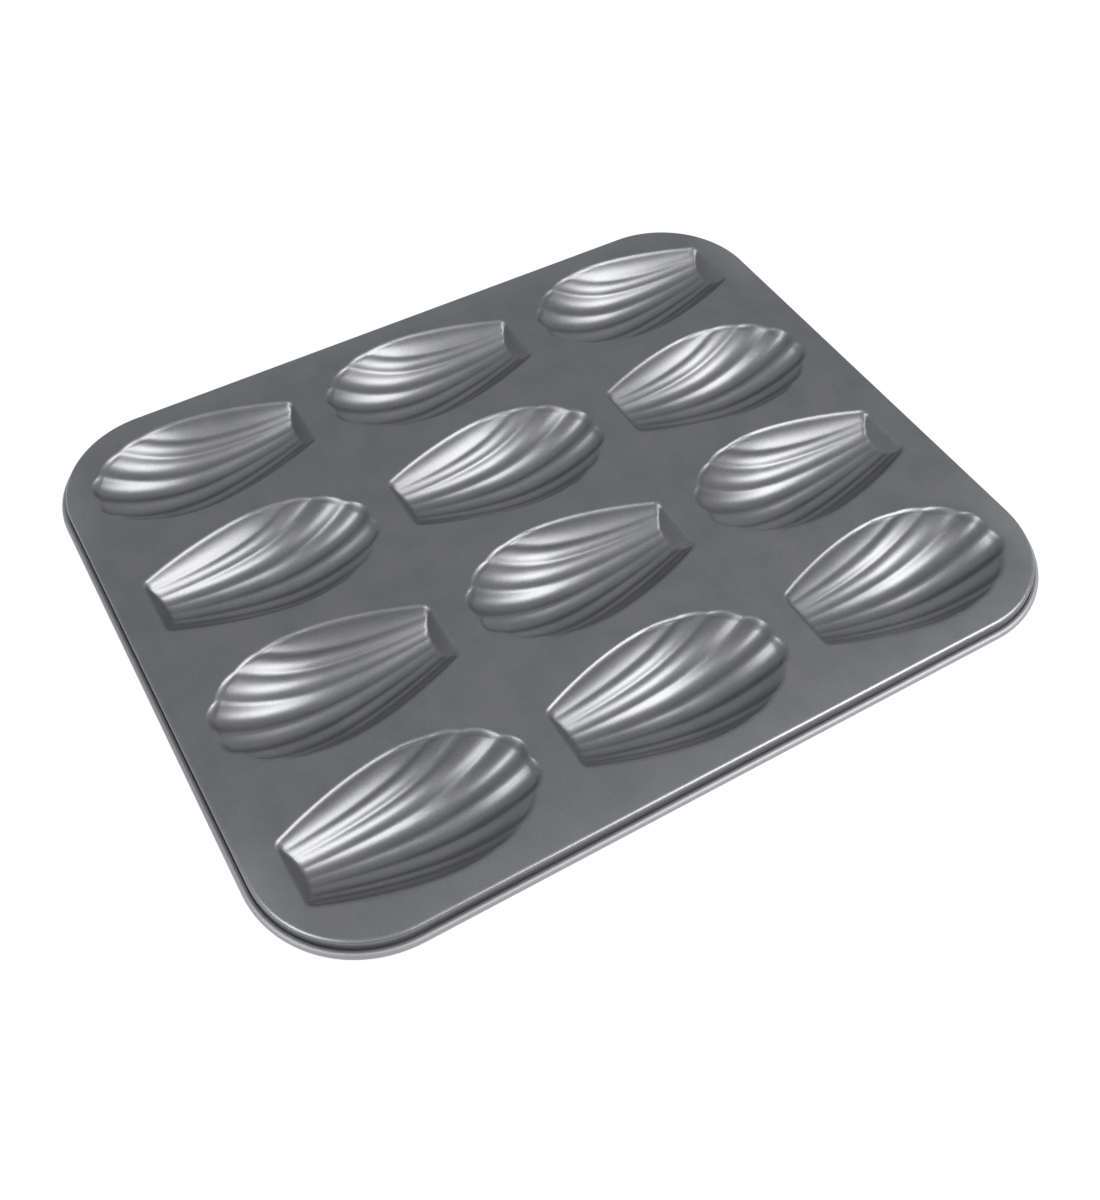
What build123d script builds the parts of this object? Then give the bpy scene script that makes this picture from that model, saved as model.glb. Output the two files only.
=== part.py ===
from build123d import *
import os
from math import cos, floor, radians, sin, sqrt

# A coated steel pan for twelve shell-shaped cakes. One thin sheet makes the flat top, the fluted
# moulds that are pressed down into it, and the edge, which turns down and curls outwards round a wire.
# X runs along the moulds and Y across them, with Z up. The origin is the middle of the pan on the
# surface that the moulds stand on.

# Layout of the moulds on the flat top
mould_columns = 3
mould_rows = 4
land_along = 12.0
land_across = 10.0
border_along = 13.7
border_across = 12.0

# Sheet and its curled edge
sheet = 0.6
corner_radius = 38.0
edge_bend_radius = 1.4
edge_strip = 1.5
curl_diameter = 2.8
curl_drop = 5.0
bend_facets = 3
curl_facets = 6
curl_sweep = 295.0

# One shell mould, measured on the upper face of the sheet
mould_length = 76.2
mould_width = 44.6
narrow_width = 22.2
ridge_depth = 13.6
collar_width = 2.4
collar_side_facets = 3
collar_end_facets = 12

# Shares that shape the mould
widest_share = 0.575
deepest_share = 0.54
foot_depth_share = 0.39
end_wall_run_share = 0.62
fan_sag_share = 0.2
side_curve_power = 1.67
floor_curve_power = 1.71
tip_curve_power = 0.79
bowl_power = 2.2
bowl_power_loss = 0.35

# Flutes, from the middle ridge out to the side of the mould
foot_shares = (0.0, 0.265, 0.535, 0.78, 1.0)
mouth_turn_shares = (0.0, 0.31, 0.59, 0.795, 1.0)
foot_swell_shares = (0.07, 0.07, 0.05, 0.06)
middle_swell_shares = (0.19, 0.2, 0.16, 0.13)
mouth_swell_shares = (0.23, 0.12, 0.08, 0.045)
facets_per_flute = 3
stations = 6
settling_rounds = 20

# Sizes that follow from the ones above
half_flutes = len(foot_swell_shares)
widest_at = widest_share * mould_length
deepest_at = deepest_share * mould_length
column_pitch = mould_length + land_along
row_pitch = mould_width + land_across
pan_length = (mould_columns - 1) * column_pitch + mould_length + 2 * border_along
pan_width = (mould_rows - 1) * row_pitch + mould_width + 2 * border_across
edge_reach = edge_bend_radius + curl_diameter - sheet
up = Vector(0, 0, 1)
end_wall_normal = Vector(1, 0, end_wall_run_share).normalized()


def half_width(along):
    """Half the mould's width at the top face, at a distance along from its narrow end."""
    if along < widest_at:
        taper = 1 - (1 - along / widest_at) ** side_curve_power
        return (narrow_width + (mould_width - narrow_width) * taper) / 2
    round_share = (along - widest_at) / (mould_length - widest_at)
    return mould_width / 2 * sqrt(max(0, 1 - round_share**2))


def middle_depth(along):
    """Depth of the middle ridge under the top face."""
    if along < deepest_at:
        rise = (1 - foot_depth_share) * (1 - along / deepest_at) ** floor_curve_power
        return ridge_depth * (1 - rise)
    tip_share = (along - deepest_at) / (mould_length - deepest_at)
    return ridge_depth * max(0, 1 - tip_share**2) ** tip_curve_power


def bowl_depth(along, across_share):
    """Depth of the bowl that carries the ridges, at a share of the mould's half width."""
    past_widest = max(0, (along - widest_at) / (mould_length - widest_at))
    power = bowl_power - bowl_power_loss * past_widest
    return middle_depth(along) * (1 - min(1, across_share) ** power)


def foot_point(share):
    """Where a ridge starts, on the slanted wall of the narrow end."""
    along = 0
    for _ in range(settling_rounds):
        along = end_wall_run_share * bowl_depth(along, share)
    return Vector(along, share * half_width(along), -bowl_depth(along, share))


def mouth_point(turn_share):
    """Where a ridge runs out into the top face, round the wide end."""
    turn = radians(90 * turn_share)
    return Vector(widest_at + (mould_length - widest_at) * cos(turn), mould_width / 2 * sin(turn), 0)


def ridge_point(ridge, travel):
    """A point on a ridge, from travel 0 at its foot to 1 at its mouth. The last ridge is the side."""
    place = abs(ridge)
    start = foot_point(foot_shares[place])
    finish = mouth_point(mouth_turn_shares[place])
    along = start.X + (finish.X - start.X) * travel
    if place == half_flutes:
        across, depth = half_width(along), 0
    else:
        fan = travel - fan_sag_share * travel**2 * (1 - travel)
        across = start.Y + (finish.Y - start.Y) * fan
        width = half_width(along)
        depth = 0 if travel == 1 else bowl_depth(along, across / width)
    if travel == 0:
        depth = -start.Z
    return Vector(along, across if ridge > 0 else -across, -depth)


def flute_point(place, travel):
    """A point of the upper face: whole places are ridges, and the flutes sag between them."""
    ridge = min(floor(place), half_flutes - 1)
    share = place - ridge
    left, right = ridge_point(ridge, travel), ridge_point(ridge + 1, travel)
    chord = right - left
    flute = ridge if ridge >= 0 else -ridge - 1
    swell_share = foot_swell_shares[flute] * (1 - travel) ** 2
    swell_share += middle_swell_shares[flute] * 2 * travel * (1 - travel)
    swell_share += mouth_swell_shares[flute] * travel**2
    if travel == 0:
        sag = chord.cross(end_wall_normal)
    elif travel == 1:
        sag = chord.cross(up)
    else:
        step = (1 - travel) / stations
        ahead = ridge_point(ridge, travel + step) + ridge_point(ridge + 1, travel + step)
        behind = ridge_point(ridge, travel - step) + ridge_point(ridge + 1, travel - step)
        sag = chord.cross(ahead - behind)
        if sag.Z > 0:
            sag = -sag
    if travel in (0, 1) and sag.dot(Vector(travel, 0, travel - 1)) < 0:
        sag = -sag
    bulge = swell_share * chord.length * 4 * share * (1 - share)
    return left + chord * share + sag.normalized() * bulge


def upper_grid():
    """Rows of points on the upper face, from the foot of the end wall to the mouth."""
    columns = 2 * half_flutes * facets_per_flute
    places = [column / facets_per_flute - half_flutes for column in range(columns + 1)]
    travels = [sin(radians(90 * station / stations)) for station in range(stations)] + [1]
    return [[flute_point(place, travel) for place in places] for travel in travels]


def shift_under(normals):
    """The step from a corner of the upper face to the same corner of the lower face."""
    first = normals[0]
    if len(normals) == 1:
        return first * -sheet
    second = normals[1]
    if len(normals) == 2:
        return (first + second) * (-sheet / (1 + first.dot(second)))
    third = normals[2]
    crosses = second.cross(third) + third.cross(first) + first.cross(second)
    return crosses * (-sheet / first.dot(second.cross(third)))


def lower_grid(grid):
    """The lower face's points, one sheet under the upper ones."""
    last_row, last_column = len(grid) - 1, len(grid[0]) - 1
    lower = []
    for row, points in enumerate(grid):
        lower.append([])
        for column, point in enumerate(points):
            along = grid[min(row + 1, last_row)][column] - grid[max(row - 1, 0)][column]
            across = points[min(column + 1, last_column)] - points[max(column - 1, 0)]
            normals = [along.cross(across).normalized()]
            if normals[0].Z < 0:
                normals = [-normals[0]]
            if row == last_row or column in (0, last_column):
                normals.append(up)
            if row == 0:
                normals.append(end_wall_normal)
            lower[-1].append(point + shift_under(normals))
    return lower


def skin_facets(grid):
    """Two flat facets for each cell of a grid of points."""
    facets = []
    for near, far in zip(grid, grid[1:]):
        for first, second, third, fourth in zip(near, near[1:], far[1:], far):
            facets.append(flat_face([first, second, third]))
            facets.append(flat_face([first, third, fourth]))
    return facets


def flat_face(points, hole=None):
    """A flat face round a loop of points."""
    outer = Wire.make_polygon(points)
    return Face(outer, [Wire.make_polygon(hole)]) if hole else Face(outer)


def mouth_loop(grid):
    """The grid's points at the top face, round the mould from one narrow corner to the other."""
    right_side = [row[0] for row in grid]
    left_side = [row[-1] for row in reversed(grid[:-1])]
    return right_side + grid[-1][1:] + left_side


def collar_loop(height):
    """The outline of the flat collar that joins the mould to the top, as a polygon."""
    upper = [Vector(-collar_width, narrow_width / 2, height)]
    for facet in range(collar_side_facets):
        along = widest_at * facet / collar_side_facets
        upper.append(Vector(along, half_width(along) + collar_width, height))
    end_length = mould_length - widest_at + collar_width
    end_half_width = mould_width / 2 + collar_width
    for facet in range(collar_end_facets // 2):
        turn = radians(90 - 180 * facet / collar_end_facets)
        upper.append(Vector(widest_at + end_length * cos(turn), end_half_width * sin(turn), height))
    tip = Vector(mould_length + collar_width, 0, height)
    lower = [Vector(point.X, -point.Y, height) for point in reversed(upper)]
    return upper + [tip] + lower


def shell_mould():
    """One fluted cup with its collar, narrow end at -X, top face at Z 0, centred on its length."""
    grid = upper_grid()
    under = lower_grid(grid)
    collar, collar_under = collar_loop(0), collar_loop(-sheet)
    faces = skin_facets(grid) + skin_facets(under)
    faces += [flat_face(grid[0]), flat_face(under[0])]
    faces.append(flat_face(collar, mouth_loop(grid)))
    faces.append(flat_face(collar_under, mouth_loop(under)))
    ring = list(zip(collar, collar_under))
    for (top, bottom), (next_top, next_bottom) in zip(ring, ring[1:] + ring[:1]):
        faces.append(flat_face([top, next_top, next_bottom, bottom]))
    lowest = min(point.Z for row in under for point in row)
    solid = Solid(Shell(faces))
    return Pos(-mould_length / 2, 0, 0) * solid, -lowest


def mould_places():
    """The name, centre and turn of every mould. Each row points the other way from the one beside it."""
    places = []
    for row in range(mould_rows):
        for column in range(mould_columns):
            name = f"mould_{chr(ord('a') + row)}{column + 1}"
            x = (column - (mould_columns - 1) / 2) * column_pitch
            y = ((mould_rows - 1) / 2 - row) * row_pitch
            places.append((name, Pos(x, y, 0) * Rot(0, 0, 180 if row % 2 == 0 else 0)))
    return places


def top_plate():
    """The flat top between the moulds, up to the strip that the edge turns down from."""
    trim = 2 * (edge_reach + edge_strip)
    plate = RectangleRounded(pan_length - trim, pan_width - trim, corner_radius - trim / 2)
    hole = Pos(-mould_length / 2, 0, 0) * flat_face(collar_loop(0))
    for _, place in mould_places():
        plate -= place * hole
    return extrude(plate, -sheet)


def edge_section():
    """The curled edge cut across: strip, bend, skirt and curl, with X measured from the corner's centre."""
    flat_end = corner_radius - edge_reach
    skirt = flat_end + edge_bend_radius
    centre = skirt - sheet + curl_diameter / 2
    bends = [90 * step / bend_facets for step in range(bend_facets + 1)]
    curls = [180 + curl_sweep * step / curl_facets for step in range(curl_facets + 1)]

    def bend_points(radius, angles):
        return [(flat_end + radius * sin(radians(a)), radius * cos(radians(a)) - edge_bend_radius) for a in angles]

    def curl_points(radius, angles):
        return [(centre + radius * cos(radians(a)), radius * sin(radians(a)) - curl_drop) for a in angles]

    outline = [(flat_end - edge_strip, 0)]
    outline += bend_points(edge_bend_radius, bends)
    outline += curl_points(curl_diameter / 2 - sheet, curls)
    outline += curl_points(curl_diameter / 2, reversed(curls))
    outline += bend_points(edge_bend_radius - sheet, reversed(bends))
    outline += [(flat_end - edge_strip, -sheet)]
    return Plane.XZ * make_face(Polyline(outline, close=True))


def wire_section():
    """The wire cut across. It has the same flats as the curl that is rolled round it."""
    centre = corner_radius - curl_diameter / 2
    radius = curl_diameter / 2 - sheet
    step = curl_sweep / curl_facets
    angles = [180 + step * index for index in range(curl_facets + 1)]
    points = [(centre + radius * cos(radians(a)), radius * sin(radians(a)) - curl_drop) for a in angles]
    return Plane.XZ * make_face(Polyline(points, close=True))


def carry_round(section):
    """Carry a section round the pan: four straight runs and four quarter turns."""
    straight_x = pan_length / 2 - corner_radius
    straight_y = pan_width / 2 - corner_radius
    turn = revolve(section, Axis.Z, 90)
    side = Pos(straight_x, -straight_y, 0) * extrude(section, 2 * straight_y, dir=(0, 1, 0))
    end = Pos(straight_x, straight_y, 0) * Rot(0, 0, 90) * extrude(section, 2 * straight_x, dir=(0, 1, 0))
    half = side + end + Pos(straight_x, straight_y, 0) * turn
    half += Pos(-straight_x, straight_y, 0) * Rot(0, 0, 90) * turn
    return half + Rot(0, 0, 180) * half


os.makedirs("parts", exist_ok=True)
mould, stand_height = shell_mould()
lift = Pos(0, 0, stand_height)
pieces = {name: place * mould for name, place in mould_places()}
pieces["top_plate"] = top_plate()
pieces["curled_edge"] = carry_round(edge_section())
pieces["edge_wire"] = carry_round(wire_section())
for name, piece in pieces.items():
    export_step(lift * piece, f"parts/{name}.step")
print(f"pan {pan_length:.1f} by {pan_width:.1f} by {stand_height:.2f} mm")
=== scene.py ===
"""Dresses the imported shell-cake pan: fluted moulds, a rolled edge, a satin coating, a studio.

Sizes are in millimetres unless a comment or a docstring says metres. Finished pieces are in
metres, as the frame is.
"""

from __future__ import annotations

import logging
import math
from dataclasses import dataclass, field
from enum import Enum
from functools import cached_property
from typing import Any, Iterable

import bmesh
import bpy
from mathutils import Matrix, Vector
from mathutils.kdtree import KDTree

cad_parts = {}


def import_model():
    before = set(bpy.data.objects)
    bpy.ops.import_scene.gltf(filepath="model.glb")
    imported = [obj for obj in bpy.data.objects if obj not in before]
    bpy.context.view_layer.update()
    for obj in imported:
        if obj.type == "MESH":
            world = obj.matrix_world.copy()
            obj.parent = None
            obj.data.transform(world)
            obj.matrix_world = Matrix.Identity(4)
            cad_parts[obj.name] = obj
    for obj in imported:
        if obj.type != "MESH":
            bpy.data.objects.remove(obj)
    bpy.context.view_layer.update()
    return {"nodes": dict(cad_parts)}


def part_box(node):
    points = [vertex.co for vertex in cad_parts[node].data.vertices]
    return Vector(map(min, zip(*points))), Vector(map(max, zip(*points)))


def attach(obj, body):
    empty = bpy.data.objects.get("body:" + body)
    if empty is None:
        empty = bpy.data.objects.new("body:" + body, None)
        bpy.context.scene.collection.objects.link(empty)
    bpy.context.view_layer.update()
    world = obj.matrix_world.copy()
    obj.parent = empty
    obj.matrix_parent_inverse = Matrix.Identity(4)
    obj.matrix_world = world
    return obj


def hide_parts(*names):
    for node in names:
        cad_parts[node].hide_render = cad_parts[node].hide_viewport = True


Mesh = bmesh.types.BMesh
Vert = bmesh.types.BMVert
Edge = bmesh.types.BMEdge
Socket = bpy.types.NodeSocket

MM = 0.001
BODY = "root"
WHITE = (1, 1, 1, 1)
NOISE_MIDDLE = 0.5
TINY = 1e-12
LOG = logging.getLogger("pan")


class Heading(Enum):
    """Which way a mould's narrow end points, as its turn in radians."""

    LEFT = 0.0
    RIGHT = math.pi


class Coating(Enum):
    """The record's material slots."""

    STEEL = "coated_steel"
    WIRE = "rim_wire"


MOULD_ROWS = {"a": Heading.RIGHT, "b": Heading.LEFT, "c": Heading.RIGHT, "d": Heading.LEFT}
MOULD_COLUMNS = (1, 2, 3)


# ---------------------------------------------------------------------------
# Shader helpers
# ---------------------------------------------------------------------------


class Signal:
    """A number socket that can be written in ordinary arithmetic."""

    def __init__(self, graph: Graph, socket: Socket) -> None:
        """Keep the graph and the output socket."""
        self.graph = graph
        self.socket = socket

    def _math(self, operation: str, *values: Any) -> Signal:
        """One Math node on these values."""
        node = self.graph.node("ShaderNodeMath", {"operation": operation}, dict(enumerate(values)))
        return Signal(self.graph, node.outputs[0])

    def __add__(self, other: Any) -> Signal:
        """Sum."""
        return self._math("ADD", self, other)

    def __radd__(self, other: Any) -> Signal:
        """Sum, with the number first."""
        return self._math("ADD", other, self)

    def __sub__(self, other: Any) -> Signal:
        """Difference."""
        return self._math("SUBTRACT", self, other)

    def __rsub__(self, other: Any) -> Signal:
        """Difference, with the number first."""
        return self._math("SUBTRACT", other, self)

    def __mul__(self, other: Any) -> Signal:
        """Product."""
        return self._math("MULTIPLY", self, other)

    def __rmul__(self, other: Any) -> Signal:
        """Product, with the number first."""
        return self._math("MULTIPLY", other, self)

    def size(self) -> Signal:
        """The value without its sign."""
        return self._math("ABSOLUTE", self)

    def ramp(self, low: float, high: float) -> Signal:
        """A smooth step.

        Args:
            low: the value that gives 0.
            high: the value that gives 1.

        Returns:
            The stepped signal.
        """
        node = self.graph.node(
            "ShaderNodeMapRange",
            {"interpolation_type": "SMOOTHSTEP"},
            {"Value": self, "From Min": low, "From Max": high},
        )
        return Signal(self.graph, node.outputs[0])


@dataclass(frozen=True)
class Clouds:
    """The make-up of a cloudy noise: the width of one cloud, and its finer layers."""

    size_mm: float
    detail: float
    roughness: float


class Graph:
    """The node tree of one material or world."""

    def __init__(self, tree: bpy.types.NodeTree) -> None:
        """Clear the tree and keep it."""
        tree.nodes.clear()
        self.tree = tree

    def node(self, kind: str, settings: dict[str, Any], inputs: dict[Any, Any]) -> bpy.types.Node:
        """Add a node.

        Args:
            kind: the node's type name.
            settings: properties of the node, set before its sockets.
            inputs: a value, a socket or a Signal for each named or numbered input.

        Returns:
            The new node.
        """
        made = self.tree.nodes.new(kind)
        for key, value in settings.items():
            setattr(made, key, value)
        for key, value in inputs.items():
            if isinstance(value, Signal):
                value = value.socket
            if isinstance(value, Socket):
                self.tree.links.new(value, made.inputs[key])
            else:
                made.inputs[key].default_value = value
        return made

    def place(self) -> Socket:
        """The point on the object, in metres."""
        return self.node("ShaderNodeTexCoord", {}, {}).outputs["Object"]

    def coordinates(self) -> tuple[Signal, ...]:
        """X, Y and Z of the point on the object, in metres."""
        split = self.node("ShaderNodeSeparateXYZ", {}, {0: self.place()})
        return tuple(Signal(self, output) for output in split.outputs)

    def noise(self, clouds: Clouds) -> Signal:
        """Cloudy noise.

        Args:
            clouds: its make-up.

        Returns:
            A signal about NOISE_MIDDLE.
        """
        node = self.node(
            "ShaderNodeTexNoise",
            {"noise_dimensions": "3D"},
            {
                "Vector": self.place(),
                "Scale": 1 / (clouds.size_mm * MM),
                "Detail": clouds.detail,
                "Roughness": clouds.roughness,
            },
        )
        return Signal(self, node.outputs[0])

    def blend(self, share: Any, first: Any, second: tuple[float, ...]) -> Socket:
        """Mix two colours.

        Args:
            share: how much of the second colour shows, from 0 to 1.
            first: a colour, or the socket that gives one.
            second: a colour.

        Returns:
            The mixed colour's socket.
        """
        under = (*first, 1) if isinstance(first, tuple) else first
        over = (*second, 1)
        node = self.node("ShaderNodeMix", {"data_type": "RGBA"}, {0: share, 6: under, 7: over})
        return node.outputs[2]

    def seen(self, glossy_share: float) -> Signal:
        """Whether a ray looks at this surface, and isn't only lit by it.

        Args:
            glossy_share: what a ray reflected by a shiny surface counts for.

        Returns:
            1 for a ray from the camera or through glass, the share for a reflected one, else 0.
        """
        rays = self.node("ShaderNodeLightPath", {}, {})
        camera = Signal(self, rays.outputs["Is Camera Ray"])
        glossy = Signal(self, rays.outputs["Is Glossy Ray"])
        clear = Signal(self, rays.outputs["Is Transmission Ray"])
        return camera + glossy * glossy_share + clear


def new_material(name: str) -> tuple[bpy.types.Material, Graph]:
    """Make an empty material.

    Args:
        name: the material's name.

    Returns:
        The material, and the cleared graph of its nodes.
    """
    material = bpy.data.materials.new(name)
    material.use_nodes = True
    return material, Graph(material.node_tree)


# ---------------------------------------------------------------------------
# Finishes
# ---------------------------------------------------------------------------


@dataclass(frozen=True)
class SatinCoating:
    """The dark grey release coating, with its fine metallic grain and slow drifts of tone.

    Painted light: a pale painted sheen on the border, painted shade in the crease and a pale
    painted reflection on the curl. The side, front and corner ranges of the border sheen, and the
    heights of the crease, are in metres.
    """

    name: str = "satin_coating"
    pale: tuple[float, ...] = (0.271, 0.273, 0.280)
    dark: tuple[float, ...] = (0.211, 0.213, 0.219)
    warm: tuple[float, ...] = (0.252, 0.248, 0.243)
    # The pale colour of the painted sheen on the border and of the painted reflection on the curl.
    painted_sheen: tuple[float, ...] = (0.8, 0.8, 0.82)
    grain: Clouds = Clouds(0.55, 3.0, 0.6)
    drift: Clouds = Clouds(14.0, 3.0, 0.55)
    ripple: Clouds = Clouds(2.4, 2.0, 0.5)
    grain_weight: float = 0.75
    drift_weight: float = 0.45
    tone_offset: float = 0.1
    tone_range: tuple[float, ...] = (0.25, 0.75)
    warm_range: tuple[float, ...] = (0.45, 0.75)
    warm_share: float = 0.35
    metallic: float = 0.92
    roughness: float = 0.39
    roughness_spread: float = 0.07
    grain_height_mm: float = 0.011
    ripple_height_mm: float = 0.016
    # Where and how strongly the border is painted paler, as a painted sheen.
    side_range: tuple[float, ...] = (0.122, 0.138)
    front_range: tuple[float, ...] = (0.098, 0.114)
    corner_range: tuple[float, ...] = (0.045, 0.085)
    border_sheen_share: float = 0.13
    front_share: float = 0.4
    # Painted shade: the heights of the crease band that is painted dark, its share and its colour.
    crease: tuple[float, ...] = ()
    crease_shade_share: float = 0.6
    painted_crease_shade_tone: tuple[float, ...] = (0.05, 0.052, 0.058)
    # Painted reflection: how far the curl is painted pale, and how much rougher it is made.
    curl_sheen_share: float = 0.22
    curl_roughness: float = 0.2

    def build(self) -> bpy.types.Material:
        """Make the material.

        Returns:
            The material; where crease heights are given, with painted shade in the crease and a
            painted pale reflection on the curl.
        """
        material, graph = new_material(self.name)
        grain, drift = graph.noise(self.grain), graph.noise(self.drift)
        tone = grain * self.grain_weight + drift * self.drift_weight - self.tone_offset
        tint = graph.blend(tone.ramp(*self.tone_range), self.dark, self.pale)
        tint = graph.blend(drift.ramp(*self.warm_range) * self.warm_share, tint, self.warm)
        # Painted sheen: the border is painted paler.
        tint = graph.blend(self._painted_border_sheen(graph) * self.border_sheen_share, tint, self.painted_sheen)
        rough = self.roughness + (grain - NOISE_MIDDLE) * self.roughness_spread
        rough = rough + (drift - NOISE_MIDDLE) * self.roughness_spread
        if self.crease:
            curled = self._curled(graph)
            # Painted shade darkens the crease band of the skirt.
            tint = graph.blend(self._crease_shade(graph) * self.crease_shade_share, tint, self.painted_crease_shade_tone)
            # Painted reflection: the curl is painted pale.
            tint = graph.blend(curled * self.curl_sheen_share, tint, self.painted_sheen)
            rough = rough + curled * self.curl_roughness
        ripple = graph.noise(self.ripple)
        height = grain * (self.grain_height_mm * MM) + ripple * (self.ripple_height_mm * MM)
        bump = graph.node(
            "ShaderNodeBump", {}, {"Height": height, "Distance": 1.0, "Strength": 1.0}
        )
        shader = graph.node(
            "ShaderNodeBsdfPrincipled",
            {},
            {
                "Base Color": tint,
                "Metallic": self.metallic,
                "Roughness": rough,
                "Normal": bump.outputs[0],
            },
        )
        graph.node("ShaderNodeOutputMaterial", {}, {"Surface": shader.outputs[0]})
        return material

    def _painted_border_sheen(self, graph: Graph) -> Signal:
        """How much a painted sheen lightens the coating near the border.

        Args:
            graph: the material's nodes.

        Returns:
            0 inside the border, up to 1 at the corners of the left and right sides, and up to
            the front share along the near and far sides.
        """
        x, y, _ = graph.coordinates()
        out_x, out_y = x.size(), y.size()
        side = out_x.ramp(*self.side_range) * out_y.ramp(*self.corner_range)
        front = out_y.ramp(*self.front_range) * self.front_share
        return 1 - (1 - side) * (1 - front)

    def _crease_shade(self, graph: Graph) -> Signal:
        """Where painted shade darkens the crease band of the skirt.

        Args:
            graph: the material's nodes.

        Returns:
            1 in the band of heights that the crease gives, 0 outside it.
        """
        low, full_low, full_high, high = self.crease
        height = graph.coordinates()[2]
        return height.ramp(low, full_low) * (1 - height.ramp(full_high, high))

    def _curled(self, graph: Graph) -> Signal:
        """1 on the curl, below the crease: a painted pale reflection, and a duller coating."""
        return 1 - graph.coordinates()[2].ramp(self.crease[0], self.crease[1])


@dataclass(frozen=True)
class DrawnWire:
    """Plain drawn steel wire."""

    name: str = "drawn_wire"
    bright: tuple[float, ...] = (0.52, 0.52, 0.52)
    dull: tuple[float, ...] = (0.40, 0.40, 0.41)
    streak: Clouds = Clouds(0.8, 2.0, 0.6)
    streak_range: tuple[float, ...] = (0.3, 0.7)
    metallic: float = 1.0
    roughness: float = 0.35
    roughness_spread: float = 0.15

    def build(self) -> bpy.types.Material:
        """Make the material.

        Returns:
            The material.
        """
        material, graph = new_material(self.name)
        streak = graph.noise(self.streak)
        shader = graph.node(
            "ShaderNodeBsdfPrincipled",
            {},
            {
                "Base Color": graph.blend(streak.ramp(*self.streak_range), self.dull, self.bright),
                "Metallic": self.metallic,
                "Roughness": self.roughness + (streak - NOISE_MIDDLE) * self.roughness_spread,
            },
        )
        graph.node("ShaderNodeOutputMaterial", {}, {"Surface": shader.outputs[0]})
        return material


@dataclass(frozen=True)
class StudioWhite:
    """The pale floor: white to the camera and to reflections, with some of the lamps' shade."""

    name: str = "studio_white"
    shade_share: float = 0.15
    glossy_share: float = 0.4
    glow: float = 1.1
    colour: tuple[float, ...] = (0.86, 0.86, 0.86, 1.0)

    def build(self) -> bpy.types.Material:
        """Make the material.

        Returns:
            The material.
        """
        material, graph = new_material(self.name)
        share = graph.seen(self.glossy_share) * (1 - self.shade_share)
        cloth = graph.node("ShaderNodeBsdfDiffuse", {}, {"Color": self.colour})
        glow = graph.node("ShaderNodeEmission", {}, {"Color": WHITE, "Strength": self.glow})
        mixed = graph.node(
            "ShaderNodeMixShader", {}, {0: share, 1: cloth.outputs[0], 2: glow.outputs[0]}
        )
        graph.node("ShaderNodeOutputMaterial", {}, {"Surface": mixed.outputs[0]})
        return material


# ---------------------------------------------------------------------------
# The form of one mould
# ---------------------------------------------------------------------------


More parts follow.
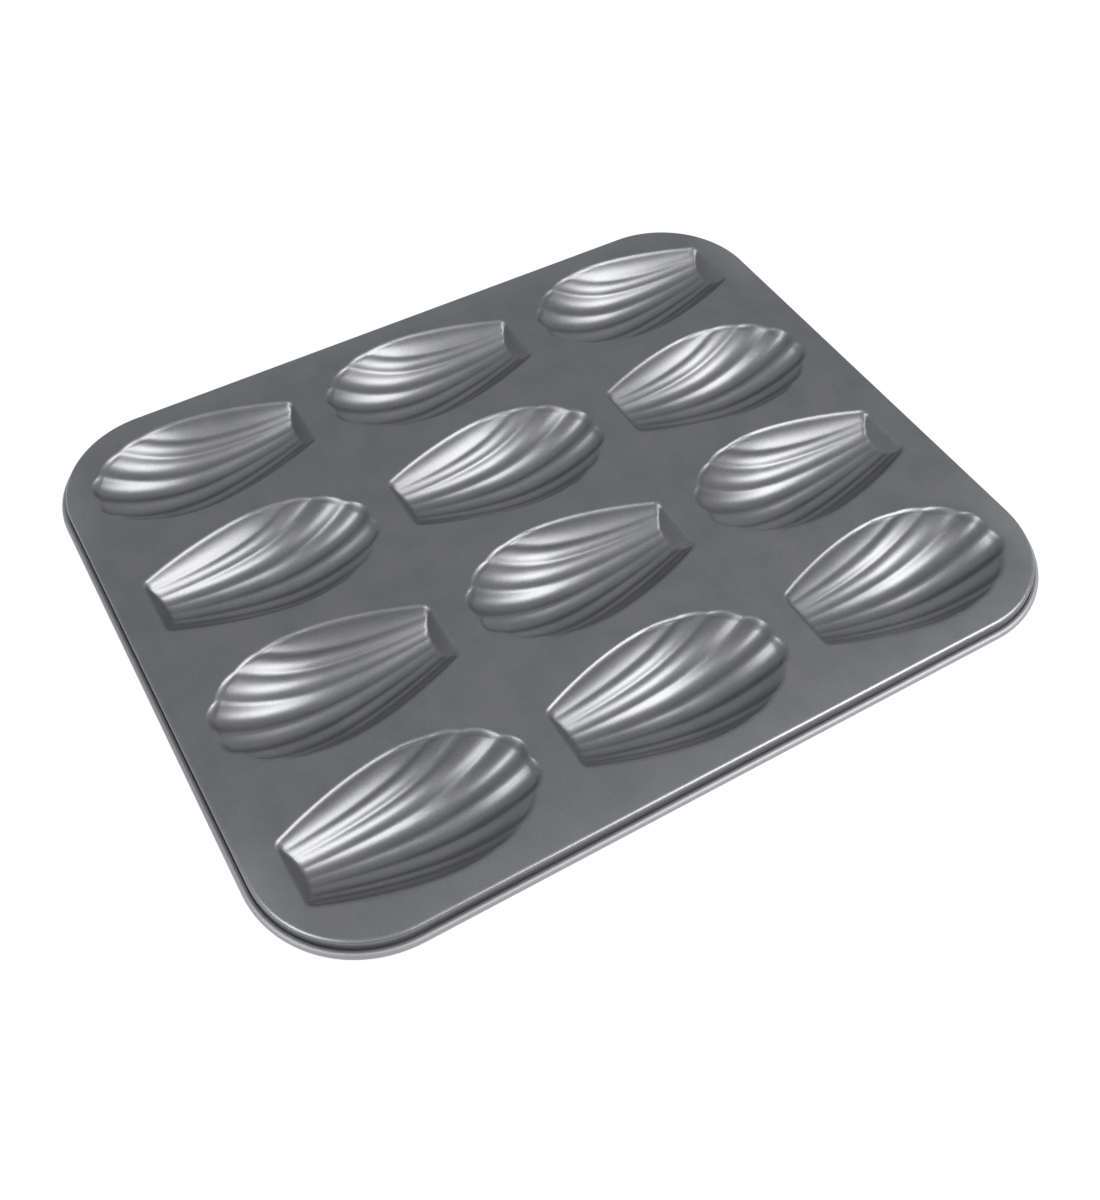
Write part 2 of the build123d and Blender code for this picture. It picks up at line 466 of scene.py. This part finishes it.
@dataclass(frozen=True)
class ShellForm:
    """The fluted shell, as formulas.

    It points its narrow end at -X, from X 0, with its top at Z 0.
    """

    length: float = 76.2
    width: float = 44.6
    narrow_width: float = 22.2
    corner_radius: float = 1.8
    depth: float = 13.52
    widest_share: float = 0.575
    deepest_share: float = 0.54
    foot_depth_share: float = 0.39
    end_wall_run_share: float = 0.62
    fan_sag_share: float = 0.2
    side_power: float = 1.67
    floor_power: float = 1.71
    tip_power: float = 0.79
    bowl_power: float = 2.2
    bowl_power_loss: float = 0.35
    foot_shares: tuple[float, ...] = (0.0, 0.265, 0.535, 0.78, 1.0)
    mouth_turn_shares: tuple[float, ...] = (0.0, 0.31, 0.59, 0.795, 1.0)
    foot_swell_shares: tuple[float, ...] = (0.07, 0.07, 0.05, 0.06)
    middle_swell_shares: tuple[float, ...] = (0.19, 0.2, 0.15, 0.07)
    mouth_swell_shares: tuple[float, ...] = (0.23, 0.12, 0.08, 0.045)
    settling_rounds: int = 20
    step: float = 0.004

    @cached_property
    def widest_at(self) -> float:
        """How far along the mould is widest."""
        return self.widest_share * self.length

    @cached_property
    def half_flutes(self) -> int:
        """Flutes on each side of the middle ridge."""
        return len(self.foot_swell_shares)

    @cached_property
    def feet(self) -> list[Vector]:
        """Where each ridge starts on the slanted end wall."""
        return [self._foot(share) for share in self.foot_shares]

    @cached_property
    def mouths(self) -> list[Vector]:
        """Where each ridge runs out into the flat top.

        Returns:
            A point for each ridge, from the middle one to the mould's own side.
        """
        points = []
        for share in self.mouth_turn_shares:
            turn = math.radians(90 * share)
            reach = (self.length - self.widest_at) * math.cos(turn)
            points.append(Vector((self.widest_at + reach, self.width / 2 * math.sin(turn), 0)))
        return points

    def half_width(self, along: float) -> float:
        """Half the width at the top.

        Args:
            along: how far from the narrow end.

        Returns:
            Half the width, with rounded corners at the narrow end.
        """
        if along >= self.widest_at:
            share = (along - self.widest_at) / (self.length - self.widest_at)
            return self.width / 2 * math.sqrt(max(0, 1 - share * share))
        taper = 1 - (1 - along / self.widest_at) ** self.side_power
        half = (self.narrow_width + (self.width - self.narrow_width) * taper) / 2
        if along < self.corner_radius:
            share = 1 - max(0, along) / self.corner_radius
            half -= self.corner_radius * (1 - math.sqrt(1 - share * share))
        return half

    def middle_depth(self, along: float) -> float:
        """Depth of the middle ridge.

        Args:
            along: how far from the narrow end.

        Returns:
            The depth below the top.
        """
        deepest_at = self.deepest_share * self.length
        if along < deepest_at:
            rise = (1 - self.foot_depth_share) * (1 - along / deepest_at) ** self.floor_power
            return self.depth * (1 - rise)
        share = (along - deepest_at) / (self.length - deepest_at)
        return self.depth * max(0, 1 - share * share) ** self.tip_power

    def bowl_depth(self, along: float, across_share: float) -> float:
        """Depth of the bowl that carries the ridges.

        Args:
            along: how far from the narrow end.
            across_share: 0 in the middle, 1 at the side.

        Returns:
            The depth below the top.
        """
        past = max(0, (along - self.widest_at) / (self.length - self.widest_at))
        power = self.bowl_power - self.bowl_power_loss * past
        return self.middle_depth(along) * (1 - min(1, across_share) ** power)

    def _foot(self, share: float) -> Vector:
        """Where a ridge's line meets the end wall.

        Args:
            share: the line's share of the half width.

        Returns:
            The point, once the wall's slant and the bowl's depth have settled.
        """
        along = 0.0
        for _ in range(self.settling_rounds):
            along = self.end_wall_run_share * self.bowl_depth(along, share)
        return Vector((along, share * self.half_width(along), -self.bowl_depth(along, share)))

    def ridge(self, ridge: int, travel: float) -> Vector:
        """A point on a ridge.

        Args:
            ridge: 0 is the middle one, and the last on each side is the mould's own side.
            travel: 0 at its foot, 1 at its mouth.

        Returns:
            The point on the upper face.
        """
        number = abs(ridge)
        start, finish = self.feet[number], self.mouths[number]
        along = start.x + (finish.x - start.x) * travel
        if number == self.half_flutes:
            across, depth = self.half_width(along), 0.0
        else:
            fan = travel - self.fan_sag_share * travel**2 * (1 - travel)
            across = start.y + (finish.y - start.y) * fan
            depth = self.bowl_depth(along, across / self.half_width(along)) if travel < 1 else 0.0
        if travel <= 0:
            depth = -start.z
        return Vector((along, math.copysign(across, ridge), -depth))

    def point(self, place: float, travel: float) -> Vector:
        """A point of the upper face.

        Args:
            place: whole numbers are ridges, from one side of the mould to the other.
            travel: 0 at the end wall, 1 at the wide mouth.

        Returns:
            The point, with the flutes sagging between the ridges.
        """
        ridge = min(math.floor(place), self.half_flutes - 1)
        share = place - ridge
        left, right = self.ridge(ridge, travel), self.ridge(ridge + 1, travel)
        chord = right - left
        sag = self._sag(ridge, travel, chord)
        flute = ridge if ridge >= 0 else -ridge - 1
        swell = self.foot_swell_shares[flute] * (1 - travel) ** 2
        swell += self.middle_swell_shares[flute] * 2 * travel * (1 - travel)
        swell += self.mouth_swell_shares[flute] * travel**2
        return left + chord * share + sag * (swell * chord.length * 4 * share * (1 - share))

    def _sag(self, ridge: int, travel: float, chord: Vector) -> Vector:
        """The direction in which a flute sags, square to its chord and its run.

        Args:
            ridge: the ridge where the chord starts.
            travel: 0 at the end wall, 1 at the wide mouth.
            chord: the line from that ridge to the next.

        Returns:
            A unit vector that points down, or outwards at the mouth.
        """
        if travel <= 0:
            sag = chord.cross(Vector((1, 0, self.end_wall_run_share)))
            outward = sag.dot(Vector((0, 0, -1)))
        elif travel >= 1:
            sag = chord.cross(Vector((0, 0, 1)))
            outward = sag.dot(Vector((1, 0, 0)))
        else:
            step = min(self.step, travel / 2, (1 - travel) / 2)
            run = self.ridge(ridge, travel + step) + self.ridge(ridge + 1, travel + step)
            run -= self.ridge(ridge, travel - step) + self.ridge(ridge + 1, travel - step)
            sag = chord.cross(run)
            outward = -sag.z
        return sag.normalized() * (1 if outward >= 0 else -1)

    def wall_point(self, place: float, rise: float) -> Vector:
        """A point of the slanted end wall.

        Args:
            place: whole numbers are ridges, from one side of the mould to the other.
            rise: 0 at the wall's foot, 1 at its top edge.

        Returns:
            The point on the upper face.
        """
        foot = self.point(place, 0.0)
        half_top = self.narrow_width / 2 - self.corner_radius
        top = Vector((0, place / self.half_flutes * half_top, 0))
        return foot.lerp(top, rise)

    def away(self, point: Vector, outward: Vector) -> Vector:
        """The level direction in which the flat leaves the cup at a rim point.

        Args:
            point: a point of the rim.
            outward: the direction square to the rim there.

        Returns:
            The same direction on the sides, and round the scallops one that is square to the
            plain outline.
        """
        if point.x <= self.widest_at:
            return outward
        half_length, half_width = self.length - self.widest_at, self.width / 2
        across = Vector(((point.x - self.widest_at) / half_length**2, point.y / half_width**2, 0))
        return across.normalized()


# ---------------------------------------------------------------------------
# Meshes
# ---------------------------------------------------------------------------


def new_piece(name: str, mesh: Mesh, finish: bpy.types.Material) -> bpy.types.Object:
    """Turn a finished bmesh, in metres, into a smooth object at the origin.

    Args:
        name: the piece's name.
        mesh: its geometry, freed here.
        finish: its material.

    Returns:
        The linked object.
    """
    for face in mesh.faces:
        face.smooth = True
    for edge in mesh.edges:
        edge.smooth = not edge.is_boundary
    data = bpy.data.meshes.new(name)
    mesh.to_mesh(data)
    mesh.free()
    data.materials.append(finish)
    piece = bpy.data.objects.new(name, data)
    bpy.context.scene.collection.objects.link(piece)
    return piece


def give_thickness(piece: bpy.types.Object, thickness: float, even: bool) -> None:
    """Make a skin a closed sheet, under its upper face.

    Args:
        piece: the piece that holds the skin.
        thickness: the sheet's thickness.
        even: whether the bends keep the full thickness.
    """
    solid = piece.modifiers.new("sheet", "SOLIDIFY")
    solid.thickness = thickness * MM
    solid.offset = -1
    solid.use_even_offset = even


def centre_of_top(low: Vector, high: Vector) -> Vector:
    """The middle of a box's top face."""
    return Vector(((low.x + high.x) / 2, (low.y + high.y) / 2, high.z))


@dataclass
class ShellMould:
    """The mesh of one mould: fluted cup, rounded lip and flat collar."""

    form: ShellForm = field(default_factory=ShellForm)
    sheet: float = 0.6
    lip_radius: float = 1.7
    collar_width: float = 2.4
    tuck: float = 0.5
    tuck_drop: float = 0.005
    least_lean: float = 0.35
    least_reach: float = 0.05
    columns_per_flute: int = 10
    wall_rows: int = 9
    flute_rows: int = 96
    row_crowding: float = 0.35
    merge_distance: float = 0.001
    sliver_length: float = 0.0005
    lip_steps: tuple[float, ...] = (0.16, 0.34, 0.54, 0.78, 1.05, 1.35, 1.7)
    softening_rounds: int = 2
    softening: float = 0.5
    lip_blend_depth: float = 1.6
    least_slope: float = 0.5
    most_slope: float = 2.6
    evening_rounds: int = 12

    def skin(self) -> Mesh:
        """The upper face of a mould.

        Returns:
            Its mesh in millimetres, with the narrow end at X 0 and the top at Z 0.
        """
        columns = 2 * self.form.half_flutes * self.columns_per_flute
        rows = self.wall_rows + self.flute_rows
        mesh = bmesh.new()
        bmesh.ops.create_grid(mesh, x_segments=columns, y_segments=rows, size=0.5)
        mesh.verts.ensure_lookup_table()
        for vertex in mesh.verts:
            column = round((vertex.co.x + 0.5) * columns)
            row = round((vertex.co.y + 0.5) * rows)
            place = column / self.columns_per_flute - self.form.half_flutes
            vertex.co = self._grid_point(place, row)
        bmesh.ops.remove_doubles(mesh, verts=mesh.verts, dist=self.merge_distance)
        bmesh.ops.dissolve_degenerate(mesh, dist=self.sliver_length, edges=mesh.edges)
        inner = [vertex for vertex in mesh.verts if not vertex.is_boundary]
        self._soften(mesh, inner, level=True)
        self._add_lip(mesh)
        bmesh.ops.recalc_face_normals(mesh, faces=mesh.faces)
        if sum(face.normal.z * face.calc_area() for face in mesh.faces) < 0:
            bmesh.ops.reverse_faces(mesh, faces=mesh.faces)
        return mesh

    def _grid_point(self, place: float, row: int) -> Vector:
        """Where a grid vertex goes: the first rows are the end wall, the others the flutes.

        Args:
            place: whole numbers are ridges.
            row: the vertex's row, from the top of the end wall to the mouth.

        Returns:
            The point, with the flutes' rows crowded towards the mouth.
        """
        if row < self.wall_rows:
            return self.form.wall_point(place, 1 - row / self.wall_rows)
        share = (row - self.wall_rows) / self.flute_rows
        eased = math.sin(math.radians(90 * share))
        travel = eased * self.row_crowding + share * (1 - self.row_crowding)
        return self.form.point(place, travel)

    def _soften(self, mesh: Mesh, verts: list[Vert], level: bool) -> None:
        """Smooth some vertices.

        Args:
            mesh: the skin.
            verts: what is smoothed.
            level: whether they move sideways too, and not only up and down.
        """
        for _ in range(self.softening_rounds):
            bmesh.ops.smooth_vert(
                mesh,
                verts=verts,
                factor=self.softening,
                use_axis_x=level,
                use_axis_y=level,
                use_axis_z=True,
            )

    def _add_lip(self, mesh: Mesh) -> None:
        """Round the edge between the cup and the flat, and add the collar.

        Args:
            mesh: the skin, which still ends at the rim.
        """
        rim = [vertex for vertex in mesh.verts if vertex.is_boundary]
        tree = self._level_tree(rim)
        slopes = self._even_out(rim, self._slopes(mesh, rim))
        outward = [self._outward(vertex) for vertex in rim]
        inner = [vertex for vertex in mesh.verts if not vertex.is_boundary]
        for vertex in inner:
            _, index, _ = tree.find((vertex.co.x, vertex.co.y, 0))
            inset = self._inset(vertex.co, rim[index])
            reach = self._reach(slopes[index])
            if inset < reach:
                vertex.co.z = -slopes[index] * (inset + reach) ** 2 / (4 * reach)
        near = [vertex for vertex in inner if vertex.co.z > -self.lip_blend_depth]
        self._soften(mesh, near, level=False)
        starts = [vertex.co.copy() for vertex in rim]
        away = [self.form.away(start, side) for start, side in zip(starts, outward)]
        ring = rim
        for step in (*self.lip_steps, self.collar_width + self.tuck):
            ring = self._extrude_ring(mesh, ring)
            for number, vertex in enumerate(ring):
                slope, reach = slopes[number], self._reach(slopes[number])
                gone = step * max(self.least_lean, away[number].dot(outward[number]))
                vertex.co = starts[number] + away[number] * step
                vertex.co.z = -slope * max(0, reach - gone) ** 2 / (4 * reach)
        for number, vertex in enumerate(rim):
            vertex.co.z = -slopes[number] * self._reach(slopes[number]) / 4
        bmesh.ops.translate(mesh, vec=(0, 0, -self.tuck_drop), verts=mesh.verts)

    def _reach(self, slope: float) -> float:
        """How far the rounding reaches each side of the lip's corner, for a wall's slope."""
        return max(self.least_reach, self.lip_radius * math.tan(math.atan(slope) / 2))

    @staticmethod
    def _level_tree(verts: list[Vert]) -> KDTree:
        """A search tree of some vertices, as seen from above.

        Args:
            verts: the vertices, which the tree knows by their place in this list.

        Returns:
            The balanced tree.
        """
        tree = KDTree(len(verts))
        for index, vertex in enumerate(verts):
            tree.insert((vertex.co.x, vertex.co.y, 0), index)
        tree.balance()
        return tree

    @staticmethod
    def _inset(point: Vector, nearest: Vert) -> float:
        """How far a point is inside the rim.

        Args:
            point: a point of the cup.
            nearest: the nearest vertex of the rim.

        Returns:
            The level distance to the nearer of the two rim edges at that vertex.
        """
        best = math.inf
        for edge in nearest.link_edges:
            if not edge.is_boundary:
                continue
            start, finish = (vertex.co.xy for vertex in edge.verts)
            run = finish - start
            share = (point.xy - start).dot(run) / max(run.length_squared, TINY)
            share = min(1, max(0, share))
            best = min(best, (point.xy - start - run * share).length)
        return best

    def _slopes(self, mesh: Mesh, rim: list[Vert]) -> list[float]:
        """How steeply the cup falls just inside each rim vertex.

        Args:
            mesh: the skin.
            rim: the vertices of its rim.

        Returns:
            A slope for each of them.
        """
        inner = [vertex for vertex in mesh.verts if not vertex.is_boundary]
        tree = self._level_tree(inner)
        slopes = []
        for vertex in rim:
            near = tree.find_range((vertex.co.x, vertex.co.y, 0), self.lip_radius)
            far_enough = [(index, gone) for _, index, gone in near if gone > self.lip_radius / 2]
            falls = [-inner[index].co.z / gone for index, gone in far_enough]
            slopes.append(max(falls, default=self.least_slope))
        return slopes

    def _even_out(self, rim: list[Vert], slopes: list[float]) -> list[float]:
        """Average each slope with its neighbours' along the rim, a few times.

        Args:
            rim: the vertices of the rim.
            slopes: a slope for each of them.

        Returns:
            The evened slopes, kept between the least and the most.
        """
        number = {vertex: index for index, vertex in enumerate(rim)}
        for _ in range(self.evening_rounds):
            evened = []
            for index, vertex in enumerate(rim):
                near = [edge.other_vert(vertex) for edge in vertex.link_edges if edge.is_boundary]
                values = [slopes[number[other]] for other in near]
                evened.append((2 * slopes[index] + sum(values)) / (2 + len(values)))
            slopes = evened
        return [min(self.most_slope, max(self.least_slope, slope)) for slope in slopes]

    def _outward(self, vertex: Vert) -> Vector:
        """The level direction away from the cup.

        Args:
            vertex: a vertex of the rim.

        Returns:
            A unit vector, square to the rim there.
        """
        away = Vector((0, 0, 0))
        from_middle = vertex.co - Vector((self.form.length / 2, 0, 0))
        for edge in vertex.link_edges:
            if not edge.is_boundary:
                continue
            along = edge.other_vert(vertex).co - vertex.co
            side = Vector((-along.y, along.x, 0)).normalized()
            away += side if side.dot(from_middle) > 0 else -side
        return away.normalized()

    @staticmethod
    def _extrude_ring(mesh: Mesh, ring: list[Vert]) -> list[Vert]:
        """Extrude a closed ring of boundary edges.

        Args:
            mesh: the skin.
            ring: the vertices of its outer ring.

        Returns:
            The new ring, in the same order.
        """
        members = set(ring)
        edges = [edge for edge in mesh.edges if edge.is_boundary and members.issuperset(edge.verts)]
        made = bmesh.ops.extrude_edge_only(mesh, edges=edges)["geom"]
        new = {item for item in made if isinstance(item, Vert)}
        outer = []
        for vertex in ring:
            others = [edge.other_vert(vertex) for edge in vertex.link_edges]
            twins = [other for other in others if other in new]
            twins.sort(key=lambda other: (other.co - vertex.co).length)
            outer.append(twins[0])
        return outer

    def place(
        self, skin: Mesh, name: str, node: str, heading: Heading, finish: bpy.types.Material
    ) -> bpy.types.Object:
        """Put a copy of the skin where a CAD mould is.

        Args:
            skin: the mesh from skin().
            name: the piece's name.
            node: the CAD mould that it replaces.
            heading: which way its narrow end points.
            finish: its material.

        Returns:
            The finished piece.
        """
        low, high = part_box(node)
        mesh = skin.copy()
        to_middle = Matrix.Translation((-self.form.length / 2, 0, 0))
        turn = Matrix.Rotation(heading.value, 4, "Z")
        to_place = Matrix.Translation(centre_of_top(low, high))
        move = to_place @ turn @ Matrix.Scale(MM, 4) @ to_middle
        bmesh.ops.transform(mesh, matrix=move, verts=mesh.verts)
        piece = new_piece(name, mesh, finish)
        give_thickness(piece, self.sheet, False)
        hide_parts(node)
        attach(piece, BODY)
        return piece


@dataclass
class RolledEdge:
    """The border strip, its bend, the skirt and the curl that is rolled outwards.

    The crease drops are measured down from the top, and go up the skirt: where the band of painted
    shade starts, where it is full, where it is last full and where it ends.
    """

    corner_radius: float = 38.0
    bend_radius: float = 1.4
    strip: float = 1.5
    tuck: float = 0.8
    tuck_drop: float = 0.003
    tuck_run: float = 0.1
    bend_lead: float = 0.25
    curl_diameter: float = 2.8
    curl_drop: float = 5.0
    curl_sweep: float = 295.0
    sheet: float = 0.6
    bend_steps: int = 8
    curl_steps: int = 26
    corner_steps: int = 24
    merge_distance: float = 0.002
    # Heights of the band of painted shade on the skirt.
    crease_shade_drops: tuple[float, ...] = (3.75, 3.45, 1.0, 0.6)

    @property
    def reach(self) -> float:
        """From the end of the flat to the outside of the curl."""
        return self.bend_radius + self.curl_diameter - self.sheet

    def coating(self, top: float) -> SatinCoating:
        """The coating with painted shade in the crease, for a flat top at this height in metres."""
        heights = tuple(top - drop * MM for drop in self.crease_shade_drops)
        return SatinCoating(name="edge_coating", crease=heights)

    def profile(self) -> list[Vector]:
        """The outer face of the section.

        Returns:
            Its points, with X from the corner's centre and the top at Z 0.
        """
        flat_end = self.corner_radius - self.reach
        strip_start = flat_end - self.strip
        section = [
            (strip_start - self.tuck, -self.tuck_drop),
            (strip_start + self.tuck_run, 0),
            (flat_end - self.bend_lead, 0),
        ]
        for step in range(self.bend_steps + 1):
            turn = math.radians(90 * step / self.bend_steps)
            level = self.bend_radius * (math.cos(turn) - 1)
            section.append((flat_end + self.bend_radius * math.sin(turn), level))
        radius = self.curl_diameter / 2 - self.sheet
        centre = flat_end + self.bend_radius + radius
        for step in range(self.curl_steps + 1):
            turn = math.radians(180 + self.curl_sweep * step / self.curl_steps)
            level = radius * math.sin(turn) - self.curl_drop
            section.append((centre + radius * math.cos(turn), level))
        return [Vector((out, 0, level)) for out, level in section]

    def build(self, finish: bpy.types.Material) -> bpy.types.Object:
        """Carry the profile round the pan: four straight runs and four quarter turns.

        Args:
            finish: the edge's material.

        Returns:
            The finished piece.
        """
        low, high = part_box("curled_edge")
        half_x = (high.x - low.x) / 2 / MM - self.corner_radius
        half_y = (high.y - low.y) / 2 / MM - self.corner_radius
        corners = [(half_x, half_y), (-half_x, half_y), (-half_x, -half_y), (half_x, -half_y)]
        start = corners[-1]
        mesh = bmesh.new()
        chain = [mesh.verts.new(point + Vector((*start, 0))) for point in self.profile()]
        edges = [mesh.edges.new(pair) for pair in zip(chain, chain[1:])]
        for corner in corners:
            run = Vector((corner[0] - start[0], corner[1] - start[1], 0))
            edges = self._carry(mesh, edges, run)
            spun = bmesh.ops.spin(
                mesh,
                geom=edges,
                cent=(*corner, 0),
                axis=(0, 0, 1),
                angle=math.pi / 2,
                steps=self.corner_steps,
            )
            edges = [item for item in spun["geom_last"] if isinstance(item, Edge)]
            start = corner
        bmesh.ops.remove_doubles(mesh, verts=mesh.verts, dist=self.merge_distance)
        bmesh.ops.recalc_face_normals(mesh, faces=mesh.faces)
        top = max(mesh.faces, key=lambda face: face.calc_center_median().z)
        if top.normal.z < 0:
            bmesh.ops.reverse_faces(mesh, faces=mesh.faces)
        move = Matrix.Translation(centre_of_top(low, high)) @ Matrix.Scale(MM, 4)
        bmesh.ops.transform(mesh, matrix=move, verts=mesh.verts)
        piece = new_piece("rolled_edge", mesh, finish)
        give_thickness(piece, self.sheet, True)
        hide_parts("curled_edge")
        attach(piece, BODY)
        return piece

    @staticmethod
    def _carry(mesh: Mesh, edges: list[Edge], run: Vector) -> list[Edge]:
        """Extrude the profile along a straight run.

        Args:
            mesh: the edge's mesh.
            edges: the profile's edges, where the run starts.
            run: its length and direction.

        Returns:
            The profile's edges at the end of the run.
        """
        made = bmesh.ops.extrude_edge_only(mesh, edges=edges)["geom"]
        verts = [item for item in made if isinstance(item, Vert)]
        bmesh.ops.translate(mesh, vec=run, verts=verts)
        members = set(verts)
        new_edges = [item for item in made if isinstance(item, Edge)]
        return [edge for edge in new_edges if members.issuperset(edge.verts)]


# ---------------------------------------------------------------------------
# Studio
# ---------------------------------------------------------------------------


@dataclass(frozen=True)
class Softbox:
    """A rectangular lamp that faces the pan.

    The two tilts are in degrees from straight up, towards +X and towards +Y. The distance, the
    width and the height are in metres.
    """

    name: str
    toward_x: float
    toward_y: float
    distance: float
    width: float
    height: float
    brightness: float

    def build(self, target: Vector) -> None:
        """Hang the lamp.

        Args:
            target: the point that it faces.
        """
        tilt = math.radians(math.hypot(self.toward_x, self.toward_y))
        bearing = math.atan2(self.toward_y, self.toward_x)
        level = math.sin(tilt)
        away = Vector((level * math.cos(bearing), level * math.sin(bearing), math.cos(tilt)))
        lamp = bpy.data.lights.new(self.name, "AREA")
        lamp.shape = "RECTANGLE"
        lamp.size, lamp.size_y = self.width, self.height
        # The watts grow with the area, so a lamp's face is as bright whatever its size.
        lamp.energy = self.brightness * math.pi * self.width * self.height
        holder = bpy.data.objects.new(self.name, lamp)
        holder.location = target + away * self.distance
        holder.rotation_euler = away.to_track_quat("Z", "Y").to_euler()
        bpy.context.scene.collection.objects.link(holder)


@dataclass(frozen=True)
class Viewpoint:
    """The camera, from the perspective of the four sides and the twelve moulds.

    The angles are in degrees, and the two clip distances in metres.
    """

    aim_x: float = -15.33
    aim_y: float = -34.16
    azimuth: float = -29.64
    elevation: float = 51.67
    distance: float = 437.7
    roll: float = -0.54
    lens: float = 40.92
    sensor: float = 36.0
    clip_start: float = 0.01
    clip_end: float = 20.0

    def build(self, top: float) -> None:
        """Set up the camera, aimed at a point of the flat top.

        Args:
            top: the height of the flat top, in metres.
        """
        azimuth, elevation = math.radians(self.azimuth), math.radians(self.elevation)
        level = math.cos(elevation)
        away = Vector((math.sin(azimuth) * level, -math.cos(azimuth) * level, math.sin(elevation)))
        camera = bpy.data.cameras.new("camera")
        camera.lens, camera.sensor_width = self.lens, self.sensor
        camera.clip_start, camera.clip_end = self.clip_start, self.clip_end
        holder = bpy.data.objects.new("camera", camera)
        aim = Vector((self.aim_x * MM, self.aim_y * MM, top))
        holder.location = aim + away * self.distance * MM
        roll = Matrix.Rotation(math.radians(self.roll), 3, "Z")
        facing = away.to_track_quat("Z", "Y").to_matrix() @ roll
        holder.rotation_euler = facing.to_euler()
        bpy.context.scene.collection.objects.link(holder)
        bpy.context.scene.camera = holder


@dataclass
class Studio:
    """Floor, world and lamps. The floor's half width is in metres."""

    floor_half_width: float = 3.0
    world_level: float = 0.42
    world_colour: tuple[float, ...] = (0.965, 0.985, 1.04, 1.0)
    world_glossy_share: float = 0.06
    white_level: float = 1.0
    lamps: tuple[Softbox, ...] = (
        Softbox("key_softbox", 30.0, -31.0, 1.1, 0.80, 0.60, 6.2),
        Softbox("side_softbox", -47.0, -9.0, 1.1, 0.42, 0.58, 5.4),
        Softbox("overhead_softbox", 2.0, -12.0, 1.1, 1.20, 1.10, 0.13),
    )

    def build(self) -> None:
        """Lay the floor, light the world and hang the lamps."""
        mesh = bmesh.new()
        bmesh.ops.create_grid(mesh, x_segments=1, y_segments=1, size=self.floor_half_width)
        floor = new_piece("floor", mesh, StudioWhite().build())
        self._light_world()
        for lamp in self.lamps:
            lamp.build(Vector((0, 0, 0)))
        bpy.context.scene.view_settings.view_transform = "Standard"

    def _light_world(self) -> None:
        """Give the world its tinted air, and plain white where it is looked at."""
        world = bpy.data.worlds.new("studio_world")
        world.use_nodes = True
        graph = Graph(world.node_tree)
        seen = graph.seen(self.world_glossy_share)
        air = graph.node(
            "ShaderNodeBackground", {}, {"Color": self.world_colour, "Strength": self.world_level}
        )
        white = graph.node(
            "ShaderNodeBackground", {}, {"Color": WHITE, "Strength": self.white_level}
        )
        mixed = graph.node(
            "ShaderNodeMixShader", {}, {0: seen, 1: air.outputs[0], 2: white.outputs[0]}
        )
        graph.node("ShaderNodeOutputWorld", {}, {"Surface": mixed.outputs[0]})
        bpy.context.scene.world = world


# ---------------------------------------------------------------------------
# The whole pan
# ---------------------------------------------------------------------------


def dress_node(node: bpy.types.Object, finish: bpy.types.Material) -> None:
    """Give a CAD node that stays its material.

    Args:
        node: the node's object.
        finish: its material.
    """
    node.data.materials.clear()
    node.data.materials.append(finish)


def main() -> None:
    """Build the dressed pan and the studio round it."""
    logging.basicConfig(level=logging.INFO, format="%(name)s: %(message)s")
    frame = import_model()
    nodes = frame["nodes"]
    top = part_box("top_plate")[1].z

    Viewpoint().build(top)
    Studio().build()
    LOG.info("studio and camera")

    coating = SatinCoating().build()
    wire = DrawnWire().build()
    dress_node(nodes["top_plate"], coating)
    dress_node(nodes["edge_wire"], wire)
    LOG.info("top plate and edge wire")

    mould = ShellMould()
    skin = mould.skin()
    for row, heading in MOULD_ROWS.items():
        for column in MOULD_COLUMNS:
            name, node = f"shell_{row}{column}", f"mould_{row}{column}"
            piece = mould.place(skin, name, node, heading, coating)
            LOG.info("%s: %d faces", piece.name, len(piece.data.polygons))
    skin.free()

    rolled_edge = RolledEdge()
    edge = rolled_edge.build(rolled_edge.coating(top).build())
    LOG.info("%s: %d faces", edge.name, len(edge.data.polygons))


if __name__ == "__main__":
    main()
